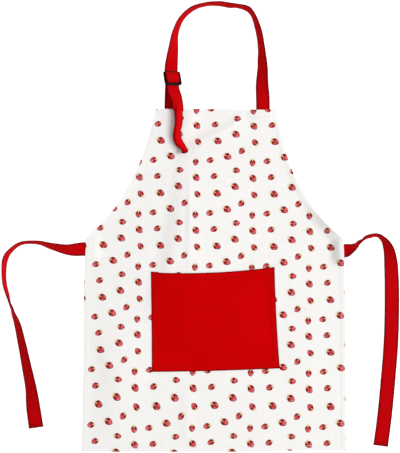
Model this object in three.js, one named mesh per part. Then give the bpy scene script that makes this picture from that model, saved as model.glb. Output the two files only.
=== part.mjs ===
// A child's kitchen apron, laid flat on a table with its front up.
// Millimetres, +Z up. The bib points along +Y and the hem along -Y, and the table top is z = 0.
import * as THREE from 'three';

// Cloth
const CLEARANCE = 0.3;
const PANEL_WALL = 1.0;
const POCKET_WALL = 1.2;
const STRAP_WIDTH = 22.5;
const STRAP_WALL = 1.4;
const LAYER = STRAP_WALL + CLEARANCE;

// Panel: its level lines, and the ends of the straps that are sewn behind its edges
const BIB_TOP = 194;
const WAIST = -20;
const HEM = -369;
const TAB_DEPTH = 15;
const TAB_SPACE = 0.2;
const NECK_TAB_X = 80;
const LOOP_TAB_X = -71;
const LEFT_TIE_END = -198;
const LEFT_TIE_Y = -37;
const RIGHT_TIE_END = 205;
const RIGHT_TIE_Y = -40;
const RIGHT_TIE_LEAN = 2;

// Slide: three bars in one moulded frame, tipped by the layers of strap under its lower bar
const SLIDE_ACROSS = 30;
const SLIDE_ALONG = 23.5;
const SLIDE_THICK = 2.8;
const SLIDE_BAR = 3;
const BAR_HALF_DIAGONAL = 1.7;
const SLIDE_SLOT_ACROSS = 23.6;
const SLIDE_CORNER = 3.5;
const SLOT_CORNER = 0.8;
const SLIDE_BEVEL = 0.7;
const SLIDE_PLACE = new THREE.Vector3(-69, 244.4, 11.6);
const SLIDE_PITCH = THREE.MathUtils.degToRad(-22);
const SLIDE_ROLL = THREE.MathUtils.degToRad(23);
const BAR_PITCH = (SLIDE_ALONG - SLIDE_BAR) / 2;

// Radii of the strap's middle line round a bar, for the first and second layer on it
const FIRST_TURN = BAR_HALF_DIAGONAL + CLEARANCE + STRAP_WALL / 2;
const SECOND_TURN = FIRST_TURN + LAYER;

// How steeply the strip that holds the slide rises to it
const LOOP_RISE = THREE.MathUtils.degToRad(11);

// Pocket: how far its front stands off the panel, where it is sewn down, and how far its two level edges sag
const POCKET_RISE = 6;
const POCKET_SEAM = 0.035;
const POCKET_SLOPE = 0.27;
const MOUTH_SAG = 5.5;
const FOOT_SAG = 1.4;

// Steps of the meshes
const PANEL_COLUMNS = 26;
const BIB_ROWS = 14;
const SKIRT_ROWS = 22;
const POCKET_COLUMNS = 16;
const POCKET_ROWS = 12;
const STRAP_STEP = 8;
const LOOP_STEPS = 10;
const TURN_STEP = THREE.MathUtils.degToRad(22);

// Gives each line of a table the names of its columns
const table = (columns, lines) =>
  lines.map((line) => Object.fromEntries(columns.map((name, i) => [name, line[i]])));

// Left and right edges of the panel: the armholes, then the sides
const ARMHOLES = table(['y', 'left', 'right'], [
  [BIB_TOP, -96.5, 103.5],
  [153, -106.5, 111],
  [101, -125, 125.5],
  [48, -152.5, 151],
  [8, -183.5, 181.5],
  [WAIST, -212, 213.5],
]);
const SIDES = table(['y', 'left', 'right'], [
  [WAIST, -212, 213.5],
  [-110, -216, 216],
  [-255, -217.5, 216.5],
  [HEM, -219, 218],
]);

// Soft folds of the panel: a low ridge along Y at x, its half width, its height and its two ends
const FOLDS = table(['x', 'reach', 'height', 'top', 'bottom'], [
  [-42, 15, 1.2, 190, -56],
  [-58, 14, 1.0, 108, -30],
  [-44, 18, 1.2, -254, -360],
  [-184, 34, 2.2, -90, -360],
]);
const FOLD_FADE = 30;

// Strap ends behind the panel, and how far they lift it
const HIDDEN_ENDS = table(['x', 'y', 'halfX', 'halfY', 'lift'], [
  [NECK_TAB_X, BIB_TOP - TAB_DEPTH / 2, STRAP_WIDTH / 2, TAB_DEPTH / 2, LAYER + TAB_SPACE],
  [LOOP_TAB_X, BIB_TOP - TAB_DEPTH / 2, STRAP_WIDTH / 2, TAB_DEPTH / 2, 2 * LAYER],
  [LEFT_TIE_END - TAB_DEPTH / 2, LEFT_TIE_Y, TAB_DEPTH / 2, STRAP_WIDTH / 2, LAYER + 2 * TAB_SPACE],
  [RIGHT_TIE_END + TAB_DEPTH / 2, RIGHT_TIE_Y, TAB_DEPTH / 2, STRAP_WIDTH / 2, LAYER + RIGHT_TIE_LEAN],
]);
const LIFT_FLAT = 18;
const LIFT_SLOPE = 26;

// Corners of the pocket
const POCKET_CORNERS = {
  topLeft: new THREE.Vector2(-103.5, -76.5),
  topRight: new THREE.Vector2(99, -67.5),
  bottomLeft: new THREE.Vector2(-101.5, -239),
  bottomRight: new THREE.Vector2(107.5, -233.5),
};

// Strap routes: the middle of the strap, its tilt in degrees and the height that its lower edge rests on.
// At a tilt of 0 the strap lies flat, at -90 it stands on its left edge, and at -180 it lies face down.
const ROUTE_COLUMNS = ['x', 'y', 'tilt', 'rest'];
const NECK_ROUTE = table(ROUTE_COLUMNS, [
  [NECK_TAB_X, BIB_TOP - TAB_DEPTH, 0, 0],
  [80.2, 203, 0, 0],
  [79.8, 216, -7, 0],
  [79, 236, -26, 0],
  [80, 261, -45, 0],
  [78, 292, -61, 0],
  [72.5, 325, -66, 0],
  [62.5, 351, -73, 0],
  [55.5, 359, -69, 0],
  [38, 364.2, -73, 0],
  [25, 364.8, -69, 0],
  [10, 367, -70, 0],
  [-14, 366.4, -75, 0],
  [-37, 358.5, -73, 0],
  [-55.5, 341, -69, 0],
  [-65, 317.5, -66, 0],
  [-68.2, 290, -45, 0],
  [-70.8, 268, -24, 0],
]);
const TAIL_ROUTE = table(ROUTE_COLUMNS, [
  [-68.3, 227, -21, 7.9],
  [-66.6, 221.5, -23, 6.8],
  [-63.6, 214, -29, 5.6],
  [-60.8, 204, -39, 5.3],
  [-58.6, 191, -49, 5.3],
  [-58, 179, -56, 5.3],
  [-58.8, 168, -61, 5.3],
  [-60.4, 157, -61, 4.9],
  [-60.6, 147.5, -56, 4.1],
  [-58.6, 140, -54, 3],
  [-54.6, 133.5, -59, 2.6],
  [-50.4, 128, -67, 2.7],
  [-48, 121.5, -71, 2.8],
]);
const LEFT_TIE_ROUTE = table(ROUTE_COLUMNS, [
  [LEFT_TIE_END, LEFT_TIE_Y, 0, 0],
  [-211, LEFT_TIE_Y, 0, 0],
  [-218, -37.3, -5, 0],
  [-227.5, -38, -18, 0],
  [-241, -38, -38, 0],
  [-267, -33, -61, 0],
  [-293.5, -26.3, -74, 0],
  [-320, -28.2, -79, 0],
  [-333, -36.6, -75, 0],
  [-343, -50, -69, 0],
  [-347.5, -70, -72, 0],
  [-346.5, -95, -75, 0],
  [-341.5, -112, -79, 0],
  [-331.5, -142, -106, 0],
  [-325.4, -156.5, -117, 0],
  [-317.1, -191.5, -126, 0],
  [-309.5, -228.5, -133, 0],
  [-301.3, -270.5, -146, 0],
  [-298.6, -298, -167, 0],
  [-294, -332, -180, 0],
]);
const RIGHT_TIE_ROUTE = table(ROUTE_COLUMNS, [
  [RIGHT_TIE_END, RIGHT_TIE_Y - 0.5, 0, 0],
  [217, RIGHT_TIE_Y, -8, 0.2],
  [226, -36.6, -43, 0.1],
  [234, -31.3, -66, 0.1],
  [241.5, -25, -79, 0],
  [248, -19.6, -100, 0],
  [256, -15.8, -107, 0],
  [264, -14.6, -103, 0],
  [271.5, -16.2, -105, 0],
  [280, -22.5, -114, 0],
  [287, -35, -135, 0],
  [290.3, -51, -154, 0],
  [292, -72, -176, 0],
  [293, -120, -180, 0],
  [291.5, -188, -180, 0],
  [286.5, -254, -180, 0],
  [280, -320, -180, 0],
  [274.3, -362, -180, 0],
]);

// Smooth curve through the rows of a table, with a rising place for each row
function smoothThrough(rows, columns, places) {
  const values = rows.flatMap((row) => columns.map((name) => row[name]));
  const curve = new THREE.CubicInterpolant(places, values, columns.length, new Array(columns.length));
  return (place) => {
    const at = curve.evaluate(place);
    return Object.fromEntries(columns.map((name, i) => [name, at[i]]));
  };
}

// Evenly spaced numbers from the first to the last, both included
const evenly = (first, last, count) =>
  Array.from({ length: count + 1 }, (_, i) => THREE.MathUtils.lerp(first, last, i / count));

const wholeNumbers = (count) => Array.from({ length: count }, (_, i) => i);

function closedGeometry(points, triangles) {
  const geometry = new THREE.BufferGeometry();
  geometry.setAttribute('position', new THREE.Float32BufferAttribute(points.flatMap((p) => p.toArray()), 3));
  geometry.setIndex(triangles.flat());
  geometry.computeVertexNormals();
  return geometry;
}

// Closed wall of cloth over a grid of under-side points, rows going down the apron and columns to its right
function clothWall(grid, wall) {
  const rows = grid.length - 1;
  const columns = grid[0].length - 1;
  const under = grid.flat();
  const points = [...under, ...under.map((p) => p.clone().setZ(p.z + wall))];
  const low = (i, j) => i * (columns + 1) + j;
  const high = (i, j) => low(i, j) + under.length;
  const triangles = [];
  for (let i = 0; i < rows; i += 1) {
    for (let j = 0; j < columns; j += 1) {
      triangles.push([high(i, j), high(i + 1, j), high(i + 1, j + 1)]);
      triangles.push([high(i, j), high(i + 1, j + 1), high(i, j + 1)]);
      triangles.push([low(i, j), low(i + 1, j + 1), low(i + 1, j)]);
      triangles.push([low(i, j), low(i, j + 1), low(i + 1, j + 1)]);
    }
  }
  const border = [
    ...wholeNumbers(rows).map((i) => [i, 0]),
    ...wholeNumbers(columns).map((j) => [rows, j]),
    ...wholeNumbers(rows).map((i) => [rows - i, columns]),
    ...wholeNumbers(columns).map((j) => [0, columns - j]),
  ];
  border.forEach((here, k) => {
    const next = border[(k + 1) % border.length];
    triangles.push([low(...here), low(...next), high(...next)]);
    triangles.push([low(...here), high(...next), high(...here)]);
  });
  return closedGeometry(points, triangles);
}

// Closed flat strap through frames, each with the strap's middle point and its direction across
function strapThrough(frames) {
  const points = [];
  const triangles = [];
  const corners = [[1, 1], [-1, 1], [-1, -1], [1, -1]];
  const leg = (i) => frames[i + 1].middle.clone().sub(frames[i].middle).normalize();
  frames.forEach((frame, i) => {
    const before = leg(Math.max(i - 1, 0));
    const after = leg(Math.min(i, frames.length - 2));
    const along = before.add(after).normalize();
    const face = along.clone().cross(frame.across).normalize();
    const across = face.clone().cross(along);
    corners.forEach(([side, top]) => {
      const point = frame.middle.clone();
      point.addScaledVector(across, (side * STRAP_WIDTH) / 2);
      point.addScaledVector(face, (top * STRAP_WALL) / 2);
      points.push(point);
    });
    if (i === 0) return;
    corners.forEach((_, k) => {
      const a = 4 * (i - 1) + k;
      const b = 4 * (i - 1) + ((k + 1) % 4);
      triangles.push([a, b, b + 4], [a, b + 4, a + 4]);
    });
  });
  const last = points.length - 4;
  triangles.push([0, 2, 1], [0, 3, 2], [last, last + 1, last + 2], [last, last + 2, last + 3]);
  return closedGeometry(points, triangles);
}

// Frames along a strap's route, its lower edge at the height that it rests on
function routeFrames(rows) {
  const places = [0];
  rows.slice(1).forEach((row, i) => {
    places.push(places[i] + Math.hypot(row.x - rows[i].x, row.y - rows[i].y));
  });
  const length = places[places.length - 1];
  const at = smoothThrough(rows, ROUTE_COLUMNS, places);
  const count = Math.round(length / STRAP_STEP);
  const reach = length / count / 2;
  return evenly(0, length, count).map((place) => {
    const here = at(place);
    const back = at(Math.max(place - reach, 0));
    const ahead = at(Math.min(place + reach, length));
    const heading = new THREE.Vector2(ahead.x - back.x, ahead.y - back.y).normalize();
    const tilt = THREE.MathUtils.degToRad(here.tilt);
    const flat = Math.cos(tilt);
    const rise = Math.sin(tilt);
    const height = here.rest + (Math.abs(rise) * STRAP_WIDTH + Math.abs(flat) * STRAP_WALL) / 2;
    return {
      middle: new THREE.Vector3(here.x, here.y, height),
      across: new THREE.Vector3(-heading.y * flat, heading.x * flat, rise),
    };
  });
}

// Frames in between two others, which aren't repeated
function framesBetween(first, last, count) {
  return evenly(0, 1, count).slice(1, -1).map((share) => ({
    middle: first.middle.clone().lerp(last.middle, share),
    across: first.across.clone().lerp(last.across, share).normalize(),
  }));
}

// Placement of the slide on the apron
function slidePlacement() {
  const turn = new THREE.Euler(SLIDE_PITCH, SLIDE_ROLL, 0, 'ZYX');
  const whole = new THREE.Vector3(1, 1, 1);
  return new THREE.Matrix4().compose(SLIDE_PLACE, new THREE.Quaternion().setFromEuler(turn), whole);
}

// Frames of a strap that is pulled round bars of the slide. Each bar has its place along the slide and the
// radius of the strap's middle line, above zero where the bar is on the right of the strap's way.
function threadFrames(bars, firstHeading, lastHeading) {
  const headings = bars.slice(1).map((bar, i) => {
    const ahead = bar.along > bars[i].along ? 0 : Math.PI;
    return ahead - Math.asin((bars[i].radius - bar.radius) / BAR_PITCH);
  });
  const place = slidePlacement();
  const across = new THREE.Vector3(1, 0, 0).transformDirection(place);
  return bars.flatMap((bar, i) => {
    const enter = i === 0 ? firstHeading : headings[i - 1];
    const leave = i === bars.length - 1 ? lastHeading : headings[i];
    const steps = Math.max(1, Math.ceil(Math.abs(leave - enter) / TURN_STEP));
    return evenly(enter, leave, steps).map((heading) => {
      const along = bar.along - bar.radius * Math.sin(heading);
      const height = bar.radius * Math.cos(heading);
      return { middle: new THREE.Vector3(0, along, height).applyMatrix4(place), across };
    });
  });
}

// The panel's two edges at a level of y
const armholeEdges = smoothThrough(ARMHOLES, ['left', 'right'], ARMHOLES.map((row) => -row.y));
const sideEdges = smoothThrough(SIDES, ['left', 'right'], SIDES.map((row) => -row.y));
const panelEdges = (y) => (y > WAIST ? armholeEdges(-y) : sideEdges(-y));

// Height of the panel's under side: its folds, and the strap ends that it lies over
function panelHeight(x, y) {
  const { smoothstep } = THREE.MathUtils;
  const folds = FOLDS.map((fold) => {
    const off = Math.min(Math.abs(x - fold.x) / fold.reach, 1);
    const ridge = Math.cos((off * Math.PI) / 2) ** 2;
    const aboveBottom = smoothstep(y, fold.bottom, fold.bottom + FOLD_FADE);
    const belowTop = smoothstep(-y, -fold.top, FOLD_FADE - fold.top);
    return fold.height * ridge * aboveBottom * belowTop;
  });
  const lifts = HIDDEN_ENDS.map((end) => {
    const offX = Math.max(Math.abs(x - end.x) - end.halfX, 0);
    const offY = Math.max(Math.abs(y - end.y) - end.halfY, 0);
    return end.lift * (1 - smoothstep(Math.hypot(offX, offY), LIFT_FLAT, LIFT_FLAT + LIFT_SLOPE));
  });
  return folds.reduce((sum, height) => sum + height, 0) + Math.max(...lifts);
}

function bodyPanel() {
  const levels = [...evenly(BIB_TOP, WAIST, BIB_ROWS), ...evenly(WAIST, HEM, SKIRT_ROWS).slice(1)];
  const grid = levels.map((y) => {
    const { left, right } = panelEdges(y);
    return evenly(left, right, PANEL_COLUMNS).map((x) => new THREE.Vector3(x, y, panelHeight(x, y)));
  });
  return clothWall(grid, PANEL_WALL);
}

// Patch pocket, flat along its three sewn edges and standing off the panel toward its open mouth
function pocket() {
  const { lerp, smoothstep } = THREE.MathUtils;
  const { topLeft, topRight, bottomLeft, bottomRight } = POCKET_CORNERS;
  const rise = (share) => smoothstep(share, POCKET_SEAM, POCKET_SEAM + POCKET_SLOPE);
  const grid = evenly(0, 1, POCKET_ROWS).map((down) => {
    const left = topLeft.clone().lerp(bottomLeft, down);
    const right = topRight.clone().lerp(bottomRight, down);
    return evenly(0, 1, POCKET_COLUMNS).map((share) => {
      const crown = POCKET_RISE * rise(share) * rise(1 - share) * rise(1 - down);
      const sag = lerp(MOUTH_SAG, FOOT_SAG, down) * 4 * share * (1 - share);
      const place = left.clone().lerp(right, share);
      return new THREE.Vector3(place.x, place.y - sag, PANEL_WALL + CLEARANCE + crown);
    });
  });
  return clothWall(grid, POCKET_WALL);
}

// Neck strap: round the neck, under the upper bar, over the middle bar, under the lower bar, then its tail
function neckStrap() {
  const level = Math.PI - SLIDE_PITCH;
  const thread = threadFrames([
    { along: BAR_PITCH, radius: FIRST_TURN },
    { along: 0, radius: -SECOND_TURN },
    { along: -BAR_PITCH, radius: FIRST_TURN },
  ], level, level);
  return strapThrough([...routeFrames(NECK_ROUTE), ...thread, ...routeFrames(TAIL_ROUTE)]);
}

// Strip that holds the slide: from behind the bib, round the middle bar, and back over itself
function buckleLoop() {
  const thread = threadFrames([
    { along: 0, radius: -FIRST_TURN },
    { along: -BAR_PITCH, radius: SECOND_TURN },
  ], LOOP_RISE - SLIDE_PITCH, Math.PI - SLIDE_PITCH);
  const flatRun = (height) => [BIB_TOP - TAB_DEPTH, BIB_TOP, BIB_TOP + TAB_DEPTH / 2].map((y) => ({
    middle: new THREE.Vector3(LOOP_TAB_X, y, height),
    across: new THREE.Vector3(1, 0, 0),
  }));
  const lower = flatRun(STRAP_WALL / 2);
  const upper = flatRun(STRAP_WALL / 2 + LAYER).reverse();
  return strapThrough([
    ...lower,
    ...framesBetween(lower.at(-1), thread[0], LOOP_STEPS),
    ...thread,
    ...framesBetween(thread.at(-1), upper[0], LOOP_STEPS),
    ...upper,
  ]);
}

// Outline of a box with round corners, as a shape or as a hole
function roundedBox(outline, across, along, corner, alongCentre) {
  const x = across / 2 - corner;
  const y = along / 2 - corner;
  const quarter = Math.PI / 2;
  [[x, y], [-x, y], [-x, -y], [x, -y]].forEach(([cx, cy], k) => {
    outline.absarc(cx, alongCentre + cy, corner, k * quarter, (k + 1) * quarter, false);
  });
  outline.closePath();
  return outline;
}

function slideBuckle() {
  const slot = BAR_PITCH - SLIDE_BAR;
  const frame = roundedBox(new THREE.Shape(), SLIDE_ACROSS, SLIDE_ALONG, SLIDE_CORNER, 0);
  [BAR_PITCH / 2, -BAR_PITCH / 2].forEach((centre) => {
    frame.holes.push(roundedBox(new THREE.Path(), SLIDE_SLOT_ACROSS, slot, SLOT_CORNER, centre));
  });
  const depth = SLIDE_THICK - 2 * SLIDE_BEVEL;
  const geometry = new THREE.ExtrudeGeometry(frame, {
    depth,
    bevelThickness: SLIDE_BEVEL,
    bevelSize: SLIDE_BEVEL,
    bevelOffset: -SLIDE_BEVEL,
    bevelSegments: 2,
    curveSegments: 3,
  });
  return geometry.translate(0, 0, -depth / 2);
}

const printedCotton = { color: 0xf5f3f0, roughness: 0.9, metalness: 0 };
const redCotton = { color: 0xc40a10, roughness: 0.85, metalness: 0 };
const blackPlastic = { color: 0x1c1c1e, roughness: 0.45, metalness: 0 };

const apron = new THREE.Group();

function addPiece(name, geometry, finish) {
  const piece = new THREE.Mesh(geometry, new THREE.MeshStandardMaterial(finish));
  piece.name = name;
  apron.add(piece);
  return piece;
}

addPiece('body_panel', bodyPanel(), printedCotton);
addPiece('pocket', pocket(), redCotton);
addPiece('neck_strap', neckStrap(), redCotton);
addPiece('buckle_loop', buckleLoop(), redCotton);
addPiece('waist_tie_left', strapThrough(routeFrames(LEFT_TIE_ROUTE)), redCotton);
addPiece('waist_tie_right', strapThrough(routeFrames(RIGHT_TIE_ROUTE)), redCotton);
const slide = addPiece('slide_buckle', slideBuckle(), blackPlastic);
slide.position.copy(SLIDE_PLACE);
slide.rotation.set(SLIDE_PITCH, SLIDE_ROLL, 0, 'ZYX');

export default apron;
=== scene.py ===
import math

import bmesh
import bpy
from mathutils import Matrix, Vector, noise


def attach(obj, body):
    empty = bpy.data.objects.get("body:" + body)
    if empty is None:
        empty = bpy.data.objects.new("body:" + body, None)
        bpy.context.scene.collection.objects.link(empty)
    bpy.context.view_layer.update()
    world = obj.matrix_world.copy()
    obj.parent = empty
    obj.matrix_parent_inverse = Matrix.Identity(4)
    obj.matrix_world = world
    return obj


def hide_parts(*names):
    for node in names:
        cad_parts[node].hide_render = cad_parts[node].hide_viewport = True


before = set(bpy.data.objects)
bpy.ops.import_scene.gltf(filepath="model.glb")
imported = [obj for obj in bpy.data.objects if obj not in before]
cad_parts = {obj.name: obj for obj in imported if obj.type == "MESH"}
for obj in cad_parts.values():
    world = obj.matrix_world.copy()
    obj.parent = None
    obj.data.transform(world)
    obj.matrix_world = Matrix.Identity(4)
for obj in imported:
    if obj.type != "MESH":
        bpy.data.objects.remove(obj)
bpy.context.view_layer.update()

# Lengths here are in millimetres, and each mesh is made in metres
MM = 0.001
UP = Vector((0, 0, 1))

# Picture: its size in points, the table that one point covers, and the place of its middle on the table
PICTURE_HIGH = 453
PICTURE_STEP = 1.65
PICTURE_MIDDLE = (-23.7, 0.0, 1.0)
CAMERA_HEIGHT = 5000
CAMERA_SENSOR = 36
CAMERA_REACH = 50

# Light: glow of the room, the lamp's width and distance in metres, its power, and where it shines from
ROOM_GLOW = 0.5
LAMP_WIDE = 3.5
LAMP_AWAY = 6.8
LAMP_POWER = 334
LAMP_FROM = (0.61, 0.06, 0.79)

# Table
TABLE_LEVEL = -0.4
TABLE_REACH = 6000
TABLE_GLOW = 0.88

# Red tape: straps, ties and the strip that holds the slide
TAPE_WIDTH = 22.5
TAPE_WALL = 1.4
CLEARANCE = 0.3
LAYER = TAPE_WALL + CLEARANCE
TAPE_STEP = 2.0
TAPE_SEAM = 2.0
TAPE_END = 0.8
TAPE_HEM = 5.6
HEM_RISE = 0.75
HEM_FLARE = 0.03
HELD_FADE = 25
TIE_HELD = (0, 30)
STRAP_HELD = (0, 28)
HELD_BEFORE_SLIDE, HELD_PAST_SLIDE = 15, 25
CUP_STARTS = 0.94
CUP_FULL = 0.995

# Half of the tape's section: distance from its edge, and half thickness there
TAPE_SECTION = [
    (0, 0), (0.08, 0.30), (0.35, 0.53), (0.8, 0.64), (1.4, 0.65), (TAPE_SEAM, 0.47), (2.6, 0.63), (4.2, 0.68),
    (5.8, 0.7), (7.2, 0.7), (8.2, 0.7), (9.0, 0.7), (9.7, 0.7), (10.4, 0.7), (TAPE_WIDTH / 2, 0.7),
]

# Seams of the tape: rows left bare at its ends, columns left bare at its edges, and for the hem's seam the
# last rows it may lie in, its distance from the fold and the column where that is measured
BARE_ROWS = 3
BARE_COLUMNS = 4
HEM_ROWS = 12
HEM_INSET = 1.2
HEM_COLUMN = 10

# Lie of free tape: slow and quick waves with their size, length and width, and its stand off what it lies on
SLOW_WAVE, SLOW_LONG, SLOW_WIDE = 0.34, 36, 15
QUICK_WAVE, QUICK_LONG, QUICK_WIDE = 0.16, 10, 8
TAPE_STAND = 0.5
EDGE_WANDER, WANDER_LONG, WANDER_REACH = 0.16, 8, 4
STITCH_PULL, PULL_REACH = 0.07, 0.9

# Painted shade at the tape's rims: where it begins and ends, in from its edges and ends, and how dark the
# painted shade at its hem's fold is
EDGE_DARK = (0.3, 3.9)
END_DARK = (0.2, 3.2)
FOLD_DARK = 0.6

# Share of its width that tape takes up: a tie past its root, strap in the slide, and strap at its puff
TIE_SPREAD = 1.075
TIE_ROOT = (105, 185)
SLOT_SPREAD = 1.035
PATCH_SPREAD = 0.09
PATCH_SHIFT = -1.8

# Tail: the painted light that makes its face paler, how far along its turn that light is spread, the turn
# that gives it fully, and the line it turns on
TAIL_PAINTED_LIGHT = 0.4
PAINTED_LIGHT_REACH = 16
PAINTED_LIGHT_TURN = 1.8
TURN_LINE = -1.5
TURN_RADIUS = 1.0

# Stitches, each made of rings with a place along it and a share of its radius
STITCH_LONG = 2.3
STITCH_PITCH = 3.0
STITCH_RADIUS = 0.24
STITCH_WIDE = 1.15
STITCH_FLAT = 0.8
STITCH_SINK = 0.5
STITCH_PROUD = 0.05
STITCH_RINGS = ((-0.5, 0.0), (-0.42, 0.7), (-0.15, 1.0), (0.15, 1.0), (0.42, 0.7), (0.5, 0.0))
STITCH_SIDES = 6

# Panel
BIB_TOP = 194
WAIST = -20
HEM = -369
TAB_DEPTH = 15
LOOP_TAB_X = -71
PANEL_STEP = 2.8
PANEL_COLUMNS = 146
SIDE_HEM = 8.6
TOP_HEM = 13.5
FOOT_HEM = 9.8
HEM_SEAM = 0.86
SEAM_INSET = 1.5
EDGE_REACH = 5.0
CLOTH_RIM = 0.9
RIM_STEPS = (0, 0.1, 0.4, CLOTH_RIM)
HEM_STEPS = (0.2, 0.35, 0.5, 0.65, 0.78, HEM_SEAM, 0.94, 0.98, 1.04, 1.16)
SIDE_SEAM_STEPS = 260
CROSS_SEAM_STEPS = 160
SEAM_OVER, SEAM_UNDER = 0.06, 0.04

# Panel cloth: heights of its faces in the hem and inside it, its middle, the seam's groove and its puckers
HEM_TOP, CLOTH_TOP = 1.22, 0.9
HEM_UNDER, CLOTH_UNDER = 0.05, 0.42
CLOTH_MIDDLE = 0.62
HEM_GROOVE = 0.2
PUCKER, PUCKER_PITCH = 0.12, 6.4

# Curls of the panel's edges, how far its foot hangs at the right and left, and its top at the neck strap
ARMHOLE_CURL, ARMHOLE_REACH, ARMHOLE_LEVELS = 1.2, 17, (-24, -4, 70, 150)
LOW_CURL, LOW_REACH, LOW_LEVELS = 7.5, 18, (-28, -8, 5, 48)
TIE_CURL, TIE_REACH, TIE_LEVELS = 8.5, (4, 25), (-72, -48, -28, -8)
FOOT_HANG = (0.9, 3.0)
STRAP_HANG = 1.4

# Slide
SLIDE_ACROSS = 30
SLIDE_ALONG = 23.5
SLIDE_THICK = 2.8
SLIDE_BAR = 3
SLIDE_FOOT = 0.9
SLIDE_SLOT_ACROSS = 23.6
SLIDE_CORNER = 3.5
SLOT_CORNER = 0.8
CORNER_STEPS = 7
SLIDE_BEVEL = 0.7
BEVEL_STEPS = 5
SLIDE_PLACE = Vector((-69, 244.4, 11.6))
SLIDE_PITCH = math.radians(-22)
SLIDE_ROLL = math.radians(23)
BAR_PITCH = (SLIDE_ALONG - SLIDE_BAR) / 2
FIRST_TURN = 1.7 + CLEARANCE + TAPE_WALL / 2
SECOND_TURN = FIRST_TURN + LAYER
LOOP_RISE = math.radians(11)
PUFF_RISE = math.radians(110)
TURN_STEP = math.radians(9)
PATCH_STEPS = 24

# Panel edges: level, left edge, right edge
ARMHOLES = [
    (BIB_TOP, -96.5, 103.5),
    (153, -106.5, 111),
    (101, -125, 125.5),
    (48, -152.5, 151),
    (8, -183.5, 181.5),
    (WAIST, -212, 212.3),
]
SIDES = [
    (WAIST, -212, 212.3),
    (-110, -215.2, 216),
    (-235, -216.2, 216.5),
    (HEM, -219, 218),
]

# Soft folds of the panel: the way of the crest, its reach on the left and right of that way, its height
FOLDS = [
    ([(-38, 126), (-46, 60), (-55, 0), (-68, -62), (-86, -112), (-94, -168)], 150, 33, 5.0),
    ([(-44, -254), (-44, -362)], 18, 18, 1.3),
    ([(-160, -140), (-160, -366)], 60, 42, 2.9),
]

# Strap ends behind the panel: x, y, half width, half height, lift, level reach of the lift, and the reach of
# its slope
HIDDEN_ENDS = [
    (80, BIB_TOP - TAB_DEPTH / 2, TAPE_WIDTH / 2, TAB_DEPTH / 2, 1.9, 4, 14),
    (LOOP_TAB_X, BIB_TOP - TAB_DEPTH / 2, TAPE_WIDTH / 2, TAB_DEPTH / 2, 3.4, 18, 26),
    (-205.5, -37, TAB_DEPTH / 2, TAPE_WIDTH / 2, 2.1, 2, 12),
    (212.5, -40, TAB_DEPTH / 2, TAPE_WIDTH / 2, 2.1, 1, 13),
]
PRINT_THROUGH = 0.7

# Creases of the panel, as the folds are listed
CREASES = [
    ([(-41.8, 98), (-41.8, 20), (-42.5, -84)], 26, 8, 1.7),
    ([(-40, 134), (-12, 147), (27, 164), (50, 188)], 14, 34, 4.2),
    ([(-196, -214), (-160, -224)], 10, 12, 1.5),
    ([(56, -10), (71, -64)], 3.5, 3.5, 0.4),
    ([(106, -65), (168, -53)], 5.5, 5.5, 0.5),
    ([(170, -205), (200, -175)], 4.5, 4.5, 0.5),
]
CREASE_EDGE = 1.6

# Pocket: its corners and size, its stand off the panel, the sag of its mouth and foot, the bow of its sides,
# its seams and edges, the heights and puckers of its cloth, and the painted shade beside its seams
POCKET_CORNERS = ((-104.6, -75.6), (99.3, -66.8), (-103, -239.9), (108, -234))
POCKET_WIDE = 206
POCKET_HIGH = 165
POCKET_RISE = 6
POCKET_SEAM = 0.035
POCKET_SLOPE = 0.27
MOUTH_LIP = 0.12
MOUTH_SAG = 4.7
CORNER_TAB = 1.2
FOOT_SAG = 1.1
SIDE_BOWS = (0.4, -1.25)
POCKET_FLOOR = 0.96
POCKET_STEP = 3.4
POCKET_SEAMS = (2.2, 7.8)
MOUTH_SEAM = 8.4
SEWN_EDGE = (8.2, 9.2)
MOUTH_EDGE = (9.4, 10.4)
GROOVE_REACH = 0.5
SEAM_START = 0.012
SEAM_DOWN_STEPS, SEAM_ACROSS_STEPS = 110, 130
POCKET_TOP, EDGE_TOP, POCKET_MIDDLE, POCKET_UNDER = 0.75, 1.08, 0.6, 0.05
POCKET_GROOVE = 0.22
POCKET_PUCKER, POCKET_PITCH = 0.10, 6.0
POCKET_SLACK = 0.5
SEAM_PAINTED_SHADE = 0.2

# Tape routes: x, y, tilt in degrees, height that the lower edge rests on
NECK_ROUTE = [
    (80, 179, 0, 0), (80.2, 203, 0, 0), (79.8, 216, -7, 0), (79, 236, -26, 0),
    (79.8, 261, -42.5, 0), (79.1, 275, -50, 0), (78, 292, -59, 0), (72.5, 325, -66, 0),
    (62.5, 351, -73, 0), (55.5, 358.5, -70, 0), (38, 363.5, -76, 0), (25, 364.6, -72, 0),
    (10, 367, -74, 0), (-14, 366, -77, 0), (-37, 358.3, -73, 0), (-55.1, 341, -71, 0),
    (-64.8, 317.5, -62, 0), (-68.2, 290, -42, 0), (-70.8, 268, -24, 0),
]
TAIL_ROUTE = [
    (-68.3, 227, -21, 7.9), (-66.6, 221.5, -23, 7.0), (-63.6, 214, -29, 6.4), (-60.8, 204, -39, 7.0),
    (-59.2, 196, -46, 8.2), (-59, 188, -56, 9.2), (-59.1, 179, -52, 9.3), (-59.6, 168, -56, 8.4),
    (-61.4, 157, -60, 6.6), (-62, 147.5, -54, 4.8), (-60, 140.2, -49, 3.2), (-55.8, 134.2, -55, 2.6),
    (-50.9, 128.8, -66, 2.7), (-48.6, 121.5, -72, 2.8),
]

# How far the tail's left part is turned down: share of the tail's length, degrees
TAIL_TURN = [
    (0, 0), (0.22, 0), (0.29, 6), (0.33, 55), (0.37, 98), (0.45, 112), (0.55, 120), (0.65, 126),
    (0.735, 118), (0.805, 112), (0.875, 124), (0.94, 146), (1, 152),
]

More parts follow.
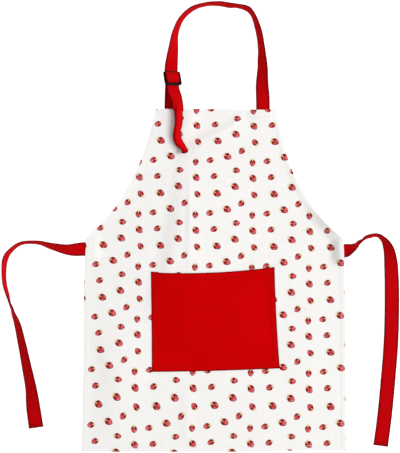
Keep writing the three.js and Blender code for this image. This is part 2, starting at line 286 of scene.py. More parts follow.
# Puffed way of the strap between the slide's outer bars: place along the slide, height over its middle
PATCH_WAY = [
    (7.5, 0.4), (8.1, 2.2), (8.1, 3.5), (6.6, 5.3), (3.2, 6.2),
    (-0.8, 6.0), (-4.4, 4.7), (-6.6, 2.6), (-7.4, 0.6),
]
LEFT_TIE_ROUTE = [
    (-198, -37, 0, 0), (-211, -37, 0, 0), (-218, -37.3, -5, 0), (-227.5, -38, -18, 0),
    (-241, -38, -38, 0), (-267, -32.5, -60, 0), (-293.5, -25.3, -75, 0), (-320, -27.2, -77, 0),
    (-333, -36.2, -75, 0), (-343, -50, -71, 0), (-347.2, -70, -75, 0), (-346.5, -95, -79, 0),
    (-341.7, -112, -84, 0), (-331.5, -142, -107, 0), (-325.4, -156.5, -117, 0), (-317.1, -191.5, -126, 0),
    (-309.5, -228.5, -133, 0), (-301.3, -270.5, -146, 0), (-298.6, -298, -167, 0), (-294, -332, -180, 0),
]
RIGHT_TIE_ROUTE = [
    (205, -40.5, 0, 0), (214, -40.3, -6, 0.2), (219.7, -39.3, -27, 0.2), (226, -36.6, -50, 0.1),
    (234, -31.3, -70, 0.1), (241.5, -25, -85, 0), (248, -19.9, -98, 0), (256, -16.2, -107, 0),
    (264, -15.2, -103, 0), (271.5, -16.2, -105, 0), (280, -22.5, -114, 0), (287, -35, -135, 0),
    (290.3, -51, -154, 0), (292, -72, -176, 0), (293, -120, -180, 0), (291.5, -188, -180, 0),
    (286.5, -254, -180, 0), (280, -320, -180, 0), (274.3, -362, -180, 0),
]

# Fruit print: one repeat of the cloth, how the cloth's lie pulls it, and its marks with x, y, the way the
# stalk points and the half size
REPEAT_WIDE = 94.09
REPEAT_HIGH = 86.59
GRAIN_TURN = math.radians(0.63)
SKIRT_SPREAD, SKIRT_MIDDLE = 0.0168, 62.9
SIDE_PULL, BIB_PULL, BIB_LIFT = 0.9, 0.8, 0.75
CORNER_PULL, CORNER_DROP = 2.4, 1.2
TOP_DROP, FOOT_DROP, LEFT_FOOT_DROP = 1.0, 5.0, 4.3
FRUITS = [
    (62.5, 18.5, 90, 5.2),
    (36.5, 6, 175, 5.2),
    (93, -4.5, 25, 5.2),
    (64, -7, 130, 5.8),
    (34.5, -21, 150, 6),
    (5, -32.5, 155, 6),
    (65.5, -33.5, -50, 5.2),
    (44, 38, 50, 5.2),
    (21.5, 28.5, 155, 6),
    (86, 22, 15, 5.2),
]


# Curves and grids
def ease(low, high, value):
    share = min(max((value - low) / (high - low), 0.0), 1.0)
    return share * share * (3 - 2 * share)


def between(a, b, share):
    return a + (b - a) * share


def evenly(first, last, count):
    return [between(first, last, i / count) for i in range(count + 1)]


def hump(value, reach):
    return math.exp(-((value / reach) ** 2))


def window(value, rise_from, rise_to, fall_from, fall_to):
    """1 between two slopes, and 0 outside them."""
    return ease(rise_from, rise_to, value) * (1 - ease(fall_from, fall_to, value))


def fading(distance, reach):
    return 1 - min(max(distance, 0) / reach, 1)


def grids(rows):
    """One grid for each part of a grid of tuples."""
    return zip(*[zip(*row) for row in rows])


def round_rim(inside, wide):
    """Share of its thickness that cloth has at a distance inside its rounded rim."""
    return math.sqrt(max(0.0, 1 - (1 - min(inside / wide, 1)) ** 2))


def smooth_through(places, rows):
    """A smooth curve through rows of numbers, with a rising place for each row."""
    last = len(places) - 1

    def at(place):
        if place <= places[0]:
            return rows[0]
        if place >= places[-1]:
            return rows[-1]
        i1 = next(i for i in range(1, last + 1) if place < places[i])
        i0 = i1 - 1
        t0, t1 = places[i0], places[i1]
        i_back, t_back = (i0 - 1, places[i0 - 1]) if i0 > 0 else (i1, t1)
        i_next, t_next = (i1 + 1, places[i1 + 1]) if i1 < last else (i0, t0)
        half = (t1 - t0) / 2
        w_back, w_next = half / (t0 - t_back), half / (t_next - t1)
        p = (place - t0) / (t1 - t0)
        p2, p3 = p * p, p * p * p
        s_back = w_back * (-p3 + 2 * p2 - p)
        s0 = (1 + w_back) * p3 + (-1.5 - 2 * w_back) * p2 + (-0.5 + w_back) * p + 1
        s1 = (-1 - w_next) * p3 + (1.5 + w_next) * p2 + 0.5 * p
        s_next = w_next * (p3 - p2)
        mix = zip(rows[i_back], rows[i0], rows[i1], rows[i_next])
        return tuple(s_back * a + s0 * b + s1 * c + s_next * d for a, b, c, d in mix)

    return at


# Camera, light and table
def put(name, data):
    holder = bpy.data.objects.new(name, data)
    bpy.context.scene.collection.objects.link(holder)
    return holder


def set_camera():
    lens = bpy.data.cameras.new("view_from_above")
    lens.sensor_width = CAMERA_SENSOR
    lens.lens = CAMERA_SENSOR * CAMERA_HEIGHT / (PICTURE_HIGH * PICTURE_STEP)
    lens.clip_end = CAMERA_REACH
    camera = put("view_from_above", lens)
    x, y, z = PICTURE_MIDDLE
    camera.location = Vector((x, y, z + CAMERA_HEIGHT)) * MM
    bpy.context.scene.camera = camera


def set_light():
    scene = bpy.context.scene
    scene.view_settings.view_transform = "Standard"
    room = bpy.data.worlds.new("studio")
    room.use_nodes = True
    scene.world = room
    glow = room.node_tree.nodes["Background"]
    glow.inputs["Color"].default_value = (1.0, 0.995, 0.985, 1)
    glow.inputs["Strength"].default_value = ROOM_GLOW
    lamp = bpy.data.lights.new("soft_key", "AREA")
    lamp.shape = "DISK"
    lamp.size = LAMP_WIDE
    lamp.energy = LAMP_POWER
    lamp.color = (1.0, 0.99, 0.975)
    key = put("soft_key", lamp)
    toward = Vector(LAMP_FROM).normalized()
    key.location = toward * LAMP_AWAY
    key.rotation_mode = "QUATERNION"
    key.rotation_quaternion = toward.to_track_quat("Z", "Y")


# Finishes
def feed(tree, made, feeds):
    for at, value in feeds.items():
        if isinstance(value, bpy.types.NodeSocket):
            tree.links.new(value, made.inputs[at])
        elif value is not None:
            made.inputs[at].default_value = value


def give(tree, made, **feeds):
    feed(tree, made, {label.replace("_", " "): value for label, value in feeds.items()})


def node(tree, kind, feeds=(), **settings):
    made = tree.nodes.new(kind)
    for name, value in settings.items():
        setattr(made, name, value)
    feed(tree, made, feeds if isinstance(feeds, dict) else dict(enumerate(feeds)))
    return made


def sums(tree, operation, *feeds):
    return node(tree, "ShaderNodeMath", feeds, operation=operation).outputs[0]


def vectors(tree, operation, *feeds, scale=None):
    inputs = {**dict(enumerate(feeds)), 3: scale}
    return node(tree, "ShaderNodeVectorMath", inputs, operation=operation).outputs[0]


def axes(tree, place):
    return node(tree, "ShaderNodeSeparateXYZ", [place]).outputs


def paint(tree, share, under, over):
    made = node(tree, "ShaderNodeMix", {0: share, 6: under, 7: over}, data_type="RGBA")
    return made.outputs[2]


def step_mask(tree, value, start, end):
    feeds = {0: value, 1: start, 2: end, 3: 0.0, 4: 1.0}
    return node(tree, "ShaderNodeMapRange", feeds, interpolation_type="SMOOTHSTEP").outputs[0]


def speckle(tree, place, scale, detail=2.0, roughness=0.5):
    feeds = {"Vector": place, "Scale": scale, "Detail": detail, "Roughness": roughness}
    return node(tree, "ShaderNodeTexNoise", feeds).outputs["Fac"]


def new_group(name, inputs, outputs):
    group = bpy.data.node_groups.new(name, "ShaderNodeTree")
    for label, kind, default in inputs:
        socket = group.interface.new_socket(name=label, in_out="INPUT", socket_type=kind)
        if default is not None:
            socket.default_value = default
    for label, kind in outputs:
        group.interface.new_socket(name=label, in_out="OUTPUT", socket_type=kind)
    return group, group.nodes.new("NodeGroupInput").outputs, group.nodes.new("NodeGroupOutput")


def use_group(tree, group, **feeds):
    made = node(tree, "ShaderNodeGroup", node_tree=group)
    give(tree, made, **feeds)
    return made.outputs


FLOAT, VECTOR, COLOUR = "NodeSocketFloat", "NodeSocketVector", "NodeSocketColor"


def plain_weave_group():
    """Over and under threads of a plain weave. Place is in metres."""
    group, given, result = new_group(
        "plain weave",
        [("Place", VECTOR, None), ("Threads", FLOAT, 2200.0)],
        [("Height", FLOAT), ("Tone", FLOAT)],
    )
    scaled = vectors(group, "SCALE", given["Place"], scale=given["Threads"])
    warp, weft, _ = axes(group, scaled)
    warp_count = sums(group, "FLOOR", warp)
    weft_count = sums(group, "FLOOR", weft)

    def thread(run, count, other, other_sign):
        across = sums(group, "SUBTRACT", run, count)
        round_top = sums(group, "SINE", sums(group, "MULTIPLY", across, math.pi))
        along = sums(group, "ADD", sums(group, "SUBTRACT", other, 0.5), count)
        swing = sums(group, "COSINE", sums(group, "MULTIPLY", along, math.pi))
        lifted = sums(group, "MULTIPLY_ADD", swing, 0.36 * other_sign, 0.64)
        return sums(group, "MULTIPLY", round_top, lifted)

    warp_top = thread(warp, warp_count, weft, 1)
    weft_top = thread(weft, weft_count, warp, -1)
    height = sums(group, "MAXIMUM", warp_top, weft_top)
    warp_shows = sums(group, "GREATER_THAN", warp_top, weft_top)
    warp_tone, weft_tone = [
        node(group, "ShaderNodeTexWhiteNoise", {1: count}, noise_dimensions="1D").outputs[0]
        for count in (warp_count, weft_count)
    ]
    tones = {0: warp_shows, 2: weft_tone, 3: warp_tone}
    tone = node(group, "ShaderNodeMix", tones, data_type="FLOAT").outputs[0]
    give(group, result, Height=height, Tone=tone)
    return group


def cloth_tone_group():
    """Soft patches of a cloth's colour, from its dye and its handling."""
    group, given, result = new_group(
        "cloth tone",
        [("Place", VECTOR, None), ("Patch Scale", FLOAT, 26.0)],
        [("Patches", FLOAT), ("Fuzz", FLOAT)],
    )
    patches = speckle(group, given["Place"], given["Patch Scale"], 3.0, 0.55)
    fuzz = speckle(group, given["Place"], 3800.0, 1.0)
    give(group, result, Patches=patches, Fuzz=fuzz)
    return group


def fruit_group():
    """One small strawberry of the print, painted over the colour that comes in."""
    group, given, result = new_group(
        "small strawberry",
        [("Colour", COLOUR, None), ("Place", VECTOR, None), ("Centre", VECTOR, None),
         ("Turn", FLOAT, 0.0), ("Half Size", FLOAT, 0.006)],
        [("Colour", COLOUR)],
    )
    half_repeat = (REPEAT_WIDE * MM / 2, REPEAT_HIGH * MM / 2, 1.0)
    from_centre = vectors(group, "SUBTRACT", given["Place"], given["Centre"])
    wrapped = vectors(group, "WRAP", from_centre, half_repeat, [-x for x in half_repeat])
    back_turn = sums(group, "MULTIPLY", given["Turn"], -1.0)
    turned = node(group, "ShaderNodeVectorRotate", {"Vector": wrapped, "Angle": back_turn},
                  rotation_type="Z_AXIS").outputs[0]
    whole = sums(group, "DIVIDE", 1.0, given["Half Size"])
    local = vectors(group, "SCALE", turned, scale=whole)
    stalk, aside, _ = axes(group, local)
    side = sums(group, "ABSOLUTE", aside)

    def oval(along, along_half, across, across_half):
        a = sums(group, "DIVIDE", along, along_half)
        b = sums(group, "DIVIDE", across, across_half)
        return sums(group, "SQRT", sums(group, "MULTIPLY_ADD", a, a, sums(group, "MULTIPLY", b, b)))

    taper = sums(group, "MULTIPLY_ADD", stalk, 0.20, 0.94)
    from_core = oval(stalk, 1.06, side, taper)
    body = step_mask(group, from_core, 1.05, 0.95)
    shoulder = step_mask(group, stalk, -0.55, 0.40)
    near_rim, off_stalk = step_mask(group, from_core, 0.70, 0.95), step_mask(group, stalk, 0.85, 0.0)
    rim = sums(group, "MULTIPLY", near_rim, off_stalk)
    apart = vectors(group, "MULTIPLY_ADD", given["Centre"], (900.0, 900.0, 900.0), local)
    blotch = step_mask(group, speckle(group, apart, 1.7, 1.0), 0.42, 0.60)
    cells = {"Vector": local, "Scale": 3.4}
    seed_gap = node(group, "ShaderNodeTexVoronoi", cells, voronoi_dimensions="2D").outputs[0]
    seeds = sums(group, "MULTIPLY", step_mask(group, seed_gap, 0.16, 0.10), 0.5)
    leaf_lean = sums(group, "MULTIPLY_ADD", side, 0.3, sums(group, "SUBTRACT", stalk, 0.64))
    leaf_out = sums(group, "SUBTRACT", side, 0.44)
    leaves = step_mask(group, oval(leaf_lean, 0.27, leaf_out, 0.40), 1.12, 0.88)
    tips = step_mask(group, oval(sums(group, "SUBTRACT", stalk, 1.12), 0.42, side, 0.90), 1.25, 0.55)
    stem_along = sums(group, "SUBTRACT", stalk, 0.74)
    stem = step_mask(group, oval(stem_along, 0.36, side, 0.12), 1.2, 0.8)

    flesh = paint(group, blotch, (0.46, 0.010, 0.016, 1), (0.85, 0.225, 0.245, 1))
    flesh = paint(group, shoulder, flesh, (0.47, 0.004, 0.010, 1))
    flesh = paint(group, seeds, flesh, (0.78, 0.28, 0.24, 1))
    flesh = paint(group, rim, flesh, (0.23, 0.018, 0.026, 1))
    colour = paint(group, tips, given["Colour"], (0.78, 0.72, 0.53, 1))
    colour = paint(group, body, colour, flesh)
    colour = paint(group, leaves, colour, (0.14, 0.006, 0.003, 1))
    colour = paint(group, stem, colour, (0.80, 0.50, 0.32, 1))
    give(group, result, Colour=colour)
    return group


def thread_twist_group():
    """Twist of a sewing thread, from a stitch's own map."""
    group, given, result = new_group(
        "thread twist", [("Place", VECTOR, None)], [("Height", FLOAT)],
    )
    along, around, _ = axes(group, given["Place"])
    lean = sums(group, "MULTIPLY_ADD", along, 5.0, around)
    wave = sums(group, "SINE", sums(group, "MULTIPLY", lean, 4 * math.pi))
    give(group, result, Height=sums(group, "MULTIPLY_ADD", wave, 0.5, 0.5))
    return group


def new_finish(name):
    finish = bpy.data.materials.new(name)
    finish.use_nodes = True
    return finish, finish.node_tree, finish.node_tree.nodes["Principled BSDF"]


def cloth_place(tree):
    return node(tree, "ShaderNodeUVMap", uv_map="cloth").outputs[0]


def solid_place(tree):
    return node(tree, "ShaderNodeTexCoord").outputs["Object"]


def set_bump(tree, shader, height, depth, strength):
    feeds = {"Height": height, "Distance": depth, "Strength": strength}
    give(tree, shader, Normal=node(tree, "ShaderNodeBump", feeds).outputs[0])


def cloth_finish(name, colour_of, groups, threads, rough, bump, sheen=0.0, specular=0.2):
    """A woven cloth. colour_of gives the dyed or printed colour at a place, for the red cloths with painted
    shade at their rims and painted light on the strap's tail.
    """
    finish, tree, shader = new_finish(name)
    place = cloth_place(tree)
    weave = use_group(tree, groups["weave"], Place=place, Threads=threads)
    tone = use_group(tree, groups["tone"], Place=place, Patch_Scale=26.0)
    colour = colour_of(tree, place, tone)
    # Painted shade darkens the low gaps between threads, and each thread has its own tone
    gaps = step_mask(tree, weave["Height"], 0.62, 0.12)
    shade = sums(tree, "MULTIPLY_ADD", gaps, -0.22, 1.03)
    shade = sums(tree, "MULTIPLY_ADD", weave["Tone"], 0.05, sums(tree, "SUBTRACT", shade, 0.025))
    toned = vectors(tree, "SCALE", colour, scale=shade)
    roughness = sums(tree, "MULTIPLY_ADD", tone["Patches"], 0.16, rough - 0.08)
    height = sums(tree, "MULTIPLY_ADD", tone["Fuzz"], 0.35, weave["Height"])
    set_bump(tree, shader, height, 0.00016, bump)
    give(tree, shader, Base_Color=toned, Roughness=roughness, Specular_IOR_Level=specular,
         Sheen_Weight=sheen, Sheen_Roughness=0.6)
    return finish


def make_finishes():
    groups = {"weave": plain_weave_group(), "tone": cloth_tone_group(), "fruit": fruit_group(),
              "twist": thread_twist_group()}
    white, cream = (0.919, 0.914, 0.907, 1), (0.880, 0.873, 0.861, 1)
    show_through = 0.22

    def bare_cotton(tree, place, tone):
        return paint(tree, tone["Patches"], white, cream)

    def printed(tree, place, tone):
        colour = bare_cotton(tree, place, tone)
        for x, y, turn, half in FRUITS:
            centre = (x * MM, y * MM, 0)
            colour = use_group(tree, groups["fruit"], Colour=colour, Place=place, Centre=centre,
                               Turn=math.radians(turn), Half_Size=half * MM)["Colour"]
        return colour

    def print_showing_through(tree, place, tone):
        return paint(tree, show_through, bare_cotton(tree, place, tone), printed(tree, place, tone))

    # Patches of dyed red, then painted shade where the rim attribute is above 0 and painted light where it is
    # below 0
    def dyed_with_painted_light_and_shade(light, deep, painted_rim_shade, worn=None):
        def red_at(tree, place, tone):
            red = paint(tree, tone["Patches"], light, deep)
            rim = node(tree, "ShaderNodeAttribute", attribute_name="rim").outputs["Fac"]
            if worn:
                red = paint(tree, sums(tree, "MULTIPLY", rim, -1.0), red, worn)
            return paint(tree, rim, red, painted_rim_shade)
        return red_at

    def sewing_thread(name, colour, deep):
        finish, tree, shader = new_finish(name)
        twist = use_group(tree, groups["twist"], Place=cloth_place(tree))
        # Painted shade darkens the grooves of the twist
        colour = paint(tree, twist["Height"], deep, colour)
        set_bump(tree, shader, twist["Height"], 0.00006, 0.5)
        give(tree, shader, Base_Color=colour, Roughness=0.7, Specular_IOR_Level=0.15)
        return finish

    # The pocket's red, with the dark colour of its painted shade at rims and seams
    pocket_red = dyed_with_painted_light_and_shade((0.62, 0.0002, 0.0014, 1), (0.525, 0.0001, 0.0008, 1), (0.15, 0.0001, 0.0004, 1))
    # The tape's red, the dark colour of its painted rim shade, and the paler red of the painted light on the
    # tail
    tape_red = dyed_with_painted_light_and_shade((0.54, 0.0014, 0.0036, 1), (0.46, 0.001, 0.0026, 1), (0.12, 0.0001, 0.0003, 1),
                    (0.80, 0.0022, 0.0066, 1))
    cottons = {
        "printed_cotton": (printed, groups, 2200.0, 0.86, 0.35, 0.05),
        "cotton_back": (print_showing_through, groups, 2200.0, 0.88, 0.35, 0.05),
        "red_cotton": (pocket_red, groups, 1900.0, 0.84, 0.45, 0.0, 0.015),
        "red_tape": (tape_red, groups, 1900.0, 0.84, 0.45, 0.0, 0.015),
    }
    # Each thread's colour, and the darker colour of the painted shade in its twist's grooves
    threads = {
        "white_thread": ((0.88, 0.87, 0.86, 1), (0.74, 0.73, 0.71, 1)),
        "red_thread": ((0.56, 0.001, 0.003, 1), (0.36, 0.0005, 0.0015, 1)),
    }
    return {
        **{name: cloth_finish(name, *cotton) for name, cotton in cottons.items()},
        **{name: sewing_thread(name, *colours) for name, colours in threads.items()},
        "black_plastic": plastic_finish(),
        "table_top": table_finish(),
    }


def plastic_finish():
    finish, tree, shader = new_finish("black_plastic")
    place = solid_place(tree)
    grain = speckle(tree, place, 2600.0, 3.0, 0.6)
    scuffs = step_mask(tree, speckle(tree, place, 240.0, 4.0, 0.65), 0.52, 0.74)
    colour = paint(tree, scuffs, (0.003, 0.0026, 0.0026, 1), (0.008, 0.007, 0.007, 1))
    rough = sums(tree, "MULTIPLY_ADD", scuffs, 0.16, sums(tree, "MULTIPLY_ADD", grain, 0.10, 0.46))
    set_bump(tree, shader, grain, 0.00004, 0.35)
    give(tree, shader, Base_Color=colour, Roughness=rough, Specular_IOR_Level=0.12)
    return finish


def table_finish():
    finish, tree, shader = new_finish("table_top")
    cloud = speckle(tree, solid_place(tree), 3.0)
    colour = paint(tree, cloud, (0.64, 0.64, 0.64, 1), (0.60, 0.60, 0.60, 1))
    give(tree, shader, Base_Color=colour, Roughness=0.9, Specular_IOR_Level=0.1,
         Emission_Color=(1, 1, 1, 1), Emission_Strength=TABLE_GLOW)
    return finish


# Meshes
def mesh_piece(name, points, faces, finishes, uvs=None, face_finish=None, smooth=True, rims=None):
    """points are in millimetres, and uvs one pair for each point, in metres. rims are 1 where painted shade
    darkens a rim, 0 away from it, and below 0 where painted light makes the tail paler."""
    mesh = bpy.data.meshes.new(name)
    mesh.from_pydata([(p[0] * MM, p[1] * MM, p[2] * MM) for p in points], [], faces)
    for finish in finishes:
        mesh.materials.append(finish)
    if uvs is not None:
        layer = mesh.uv_layers.new(name="cloth")
        flat = [c for loop in mesh.loops for c in uvs[loop.vertex_index]]
        layer.uv.foreach_set("vector", flat)
    if rims is not None:
        mesh.attributes.new("rim", "FLOAT", "POINT").data.foreach_set("value", rims)
    if face_finish is not None:
        mesh.polygons.foreach_set("material_index", face_finish)
    mesh.polygons.foreach_set("use_smooth", [smooth] * len(mesh.polygons))
    mesh.validate()
    mesh.update()
    return put(name, mesh)


def two_skins(name, tops, unders, maps, finishes, under_finish=None, rims=None):
    """Closed cloth from two grids of points that meet at their rims."""
    rows, columns = len(tops), len(tops[0])
    points, uvs, shades, high, low = [], [], [], {}, {}
    for i in range(rows):
        for j in range(columns):
            high[i, j] = len(points)
            points.append(tops[i][j])
            uvs.append(maps[i][j])
            shades.append(rims[i][j] if rims else 0.0)
            if i in (0, rows - 1) or j in (0, columns - 1):
                low[i, j] = high[i, j]
            else:
                low[i, j] = len(points)
                points.append(unders[i][j])
                uvs.append(maps[i][j])
                shades.append(rims[i][j] if rims else 0.0)
    faces, kinds = [], []
    for i in range(rows - 1):
        for j in range(columns - 1):
            ring = [(i, j), (i + 1, j), (i + 1, j + 1), (i, j + 1)]
            faces.append([high[k] for k in ring])
            kinds.append(0)
            faces.append([low[k] for k in reversed(ring)])
            kinds.append(under_finish(i, j) if under_finish else 0)
    return mesh_piece(name, points, faces, finishes, uvs, kinds, rims=shades)


def stitches_along(line):
    """Places of stitches along a line of (point, up) pairs."""
    found, run, due = [], 0.0, STITCH_PITCH / 2
    for (p, up_p), (q, up_q) in zip(line, line[1:]):
        leg = q - p
        long = leg.length
        if long < 1e-6:
            continue
        while due <= run + long:
            share = (due - run) / long
            found.append((p.lerp(q, share), leg / long, up_p.lerp(up_q, share).normalized()))
            due += STITCH_PITCH
        run += long
    return found


def seam(name, lines, finish):
    points, faces, uvs = [], [], []
    body_rings = len(STITCH_RINGS) - 2
    for place, along, up in [stitch for line in lines for stitch in stitches_along(line)]:
        across = up.cross(along).normalized()
        up = along.cross(across)
        first = len(points)
        for t, r in STITCH_RINGS:
            sink = -STITCH_SINK * STITCH_RADIUS * (2 * t) ** 2
            count = 1 if r == 0 else STITCH_SIDES
            for k in range(count):
                turn = 2 * math.pi * k / STITCH_SIDES
                aside = math.cos(turn) * r * STITCH_RADIUS * STITCH_WIDE
                rise = math.sin(turn) * r * STITCH_RADIUS * STITCH_FLAT + sink
                points.append(place + along * (t * STITCH_LONG) + (across * aside + up * rise))
                uvs.append((t, k / STITCH_SIDES))
        rings = [first + 1 + STITCH_SIDES * n for n in range(body_rings)]
        tip = first + 1 + STITCH_SIDES * body_rings
        for k in range(STITCH_SIDES):
            n = (k + 1) % STITCH_SIDES
            faces.append([first, rings[0] + n, rings[0] + k])
            for a, b in zip(rings, rings[1:]):
                faces.append([a + k, a + n, b + n, b + k])
            faces.append([rings[-1] + k, rings[-1] + n, tip])
    return mesh_piece(name, points, faces, [finish], uvs)


# Tape
class Frames:
    """Middle line of a tape with its three directions at each point."""

    def __init__(self, frames):
        filled = [frames[0]]
        for middle, across in frames[1:]:
            before, before_across = filled[-1]
            count = max(1, math.ceil((middle - before).length / (1.4 * TAPE_STEP)))
            for share in evenly(0, 1, count)[1:]:
                turned = before_across.lerp(across, share).normalized()
                filled.append((before.lerp(middle, share), turned))
        self.middle = [middle for middle, _ in filled]
        legs = [(b - a).normalized() for a, b in zip(self.middle, self.middle[1:])]
        legs = [legs[0], *legs, legs[-1]]
        self.along = [(a + b).normalized() for a, b in zip(legs, legs[1:])]
        self.face = [a.cross(across).normalized() for a, (_, across) in zip(self.along, filled)]
        self.across = [f.cross(a) for f, a in zip(self.face, self.along)]
        self.place = [0.0]
        for a, b in zip(self.middle, self.middle[1:]):
            self.place.append(self.place[-1] + (b - a).length)
        self.length = self.place[-1]


def route_frames(route):
    places = [0.0]
    for a, b in zip(route, route[1:]):
        places.append(places[-1] + math.hypot(b[0] - a[0], b[1] - a[1]))
    at = smooth_through(places, route)
    length = places[-1]
    count = round(length / TAPE_STEP)
    reach = length / count / 2
    frames = []
    for place in evenly(0, length, count):
        x, y, tilt, rest = at(place)
        back, ahead = at(max(place - reach, 0)), at(min(place + reach, length))
        heading = Vector((ahead[0] - back[0], ahead[1] - back[1])).normalized()
        flat, rise = math.cos(math.radians(tilt)), math.sin(math.radians(tilt))
        height = rest + (abs(rise) * TAPE_WIDTH + abs(flat) * TAPE_WALL) / 2
        frames.append((Vector((x, y, height)), Vector((-heading.y * flat, heading.x * flat, rise))))
    return frames


def slide_turn():
    return Matrix.Rotation(SLIDE_ROLL, 3, "Y") @ Matrix.Rotation(SLIDE_PITCH, 3, "X")


def patch_frames():
    """Strap puffed over the slide's middle bar."""
    places = [0.0]
    for a, b in zip(PATCH_WAY, PATCH_WAY[1:]):
        places.append(places[-1] + math.dist(a, b))
    at = smooth_through(places, PATCH_WAY)
    turn = slide_turn()
    across = turn @ Vector((1, 0, 0))
    frames = []
    for place in evenly(0, places[-1], PATCH_STEPS):
        frames.append((turn @ Vector((0, *at(place))) + SLIDE_PLACE, across))
    return frames


def thread_frames(bars, first_heading, last_heading):
    """Tape pulled round bars of the slide, each with its place along the slide and its turn's radius."""
    headings = []
    for (along_a, radius_a), (along_b, radius_b) in zip(bars, bars[1:]):
        ahead = 0 if along_b > along_a else math.pi
        headings.append(ahead - math.asin((radius_a - radius_b) / BAR_PITCH))
    turn = slide_turn()
    across = turn @ Vector((1, 0, 0))
    frames = []
    enters, leaves = [first_heading, *headings], [*headings, last_heading]
    for (along, radius), enter, leave in zip(bars, enters, leaves):
        steps = max(1, math.ceil(abs(leave - enter) / TURN_STEP))
        for heading in evenly(enter, leave, steps):
            place = Vector((0, along - radius * math.sin(heading), radius * math.cos(heading)))
            frames.append((turn @ place + SLIDE_PLACE, across))
    return frames


def no_turn(place):
    return 0.0


def turned_section(across, angle):
    """Place across and height of a section whose left part is turned down, and its turn there."""
    past = TURN_LINE - across
    if angle <= 0 or past <= 0:
        return across, 0.0, 0.0
    curved = min(past / TURN_RADIUS, angle)
    straight = past - curved * TURN_RADIUS
    inward = TURN_RADIUS * math.sin(curved) + straight * math.cos(curved)
    fall = TURN_RADIUS * (1 - math.cos(curved)) + straight * math.sin(curved)
    return TURN_LINE - inward, -fall, curved


def tape(name, frames, finish, calm, spread, turn, hem_side, cup, seed):
    """Sewn flat tape. calm(place) is 0 where the tape is held and 1 where it lies free, spread(place) its
    share of the tape's width with its shift aside, and turn(place) how far its left part is turned down.
    hem_side is the side that its end is turned over to, and cup how far it bends where it stands on edge."""
    half = TAPE_WIDTH / 2
    section = [(-half + d, f, d) for d, f in TAPE_SECTION]
    section += [(half - d, f, d) for d, f in reversed(TAPE_SECTION[:-1])]
    long = frames.length
    ends = [0.0, 0.12, 0.4, TAPE_END]
    fold = [TAPE_HEM + d for d in (0.9, 0.3, -0.3, -0.9, -1.5)]
    last = [long - e for e in [*ends, *(fold if hem_side else [])]]
    near_last = min(last) - TAPE_END
    places = sorted([*ends, *[p for p in frames.place if 1.0 < p < near_last], *last])
    rows = []
    k = 0
    for place in places:
        while k < len(frames.place) - 2 and frames.place[k + 1] < place:
            k += 1
        share = (place - frames.place[k]) / (frames.place[k + 1] - frames.place[k])
        middle = frames.middle[k].lerp(frames.middle[k + 1], share)
        across = frames.across[k].lerp(frames.across[k + 1], share).normalized()
        face = frames.face[k].lerp(frames.face[k + 1], share).normalized()
        end = min(place, long - place)
        pinch = round_rim(end, TAPE_END)
        free = calm(place)
        flare, shift = spread(place)
        hem = fold_line = 0.0
        if hem_side:
            hem = ease(TAPE_HEM + 0.35, TAPE_HEM - 0.35, long - place) * HEM_RISE
            fold_line = hump(long - place - TAPE_HEM, 1.0)
            flare *= 1 + HEM_FLARE * ease(TAPE_HEM, 1.5, long - place)
        middle = middle + across * shift + UP * (flare - 1) * half * abs(across.z) * free
        bend = cup * ease(CUP_STARTS, CUP_FULL, abs(across.z))
        turn_here = turn(place)
        turn_near = (turn(place - PAINTED_LIGHT_REACH) + turn_here + turn(place + PAINTED_LIGHT_REACH)) / 3
        worn = TAIL_PAINTED_LIGHT * ease(0, PAINTED_LIGHT_TURN, turn_near)
        row = []
        for a, f, d in section:
            lie = bend * ((a / half) ** 2 - 0.33) + free * (
                SLOW_WAVE * noise.noise(Vector((place / SLOW_LONG, a / SLOW_WIDE, seed)))
                + QUICK_WAVE * noise.noise(Vector((place / QUICK_LONG, a / QUICK_WIDE, seed + 5)))
                + TAPE_STAND * face.z
            )
            stitch_beat = math.cos(2 * math.pi * place / STITCH_PITCH)
            pull = STITCH_PULL * stitch_beat * hump(d - TAPE_SEAM, PULL_REACH)
            edge_noise = noise.noise(Vector((place / WANDER_LONG, seed + 9, math.copysign(3, a))))
            wander = free * EDGE_WANDER * edge_noise * hump(d, WANDER_REACH)
            inside = min(f / 0.5, 1)
            aside, fall, turned = turned_section(a * flare + wander, turn_here)
            at = middle + across * aside + face * fall
            out = face * math.cos(turned) - across * math.sin(turned)
            high = (f + (max(hem_side, 0) * hem - pull) * inside) * pinch
            deep = (f + (max(-hem_side, 0) * hem - pull) * inside) * pinch
            # Painted shade darkens the tape at its rolled edges, its ends and its hem's fold, and painted
            # light makes the tail's face paler
            dark = max(1 - ease(*EDGE_DARK, d), FOLD_DARK * fold_line, 1 - ease(*END_DARK, end))
            rim = between(-worn if a > TURN_LINE - 1 else 0.0, 1, dark)
            on_cloth = ((a + half) * MM, (place + 40 * seed) * MM)
            row.append((at + out * (lie + high), at + out * (lie - deep), on_cloth, rim))
        rows.append(row)
    tops, unders, maps, rims = grids(rows)
    made = two_skins(name, tops, unders, maps, [finish], rims=rims)
    return made, tops, unders


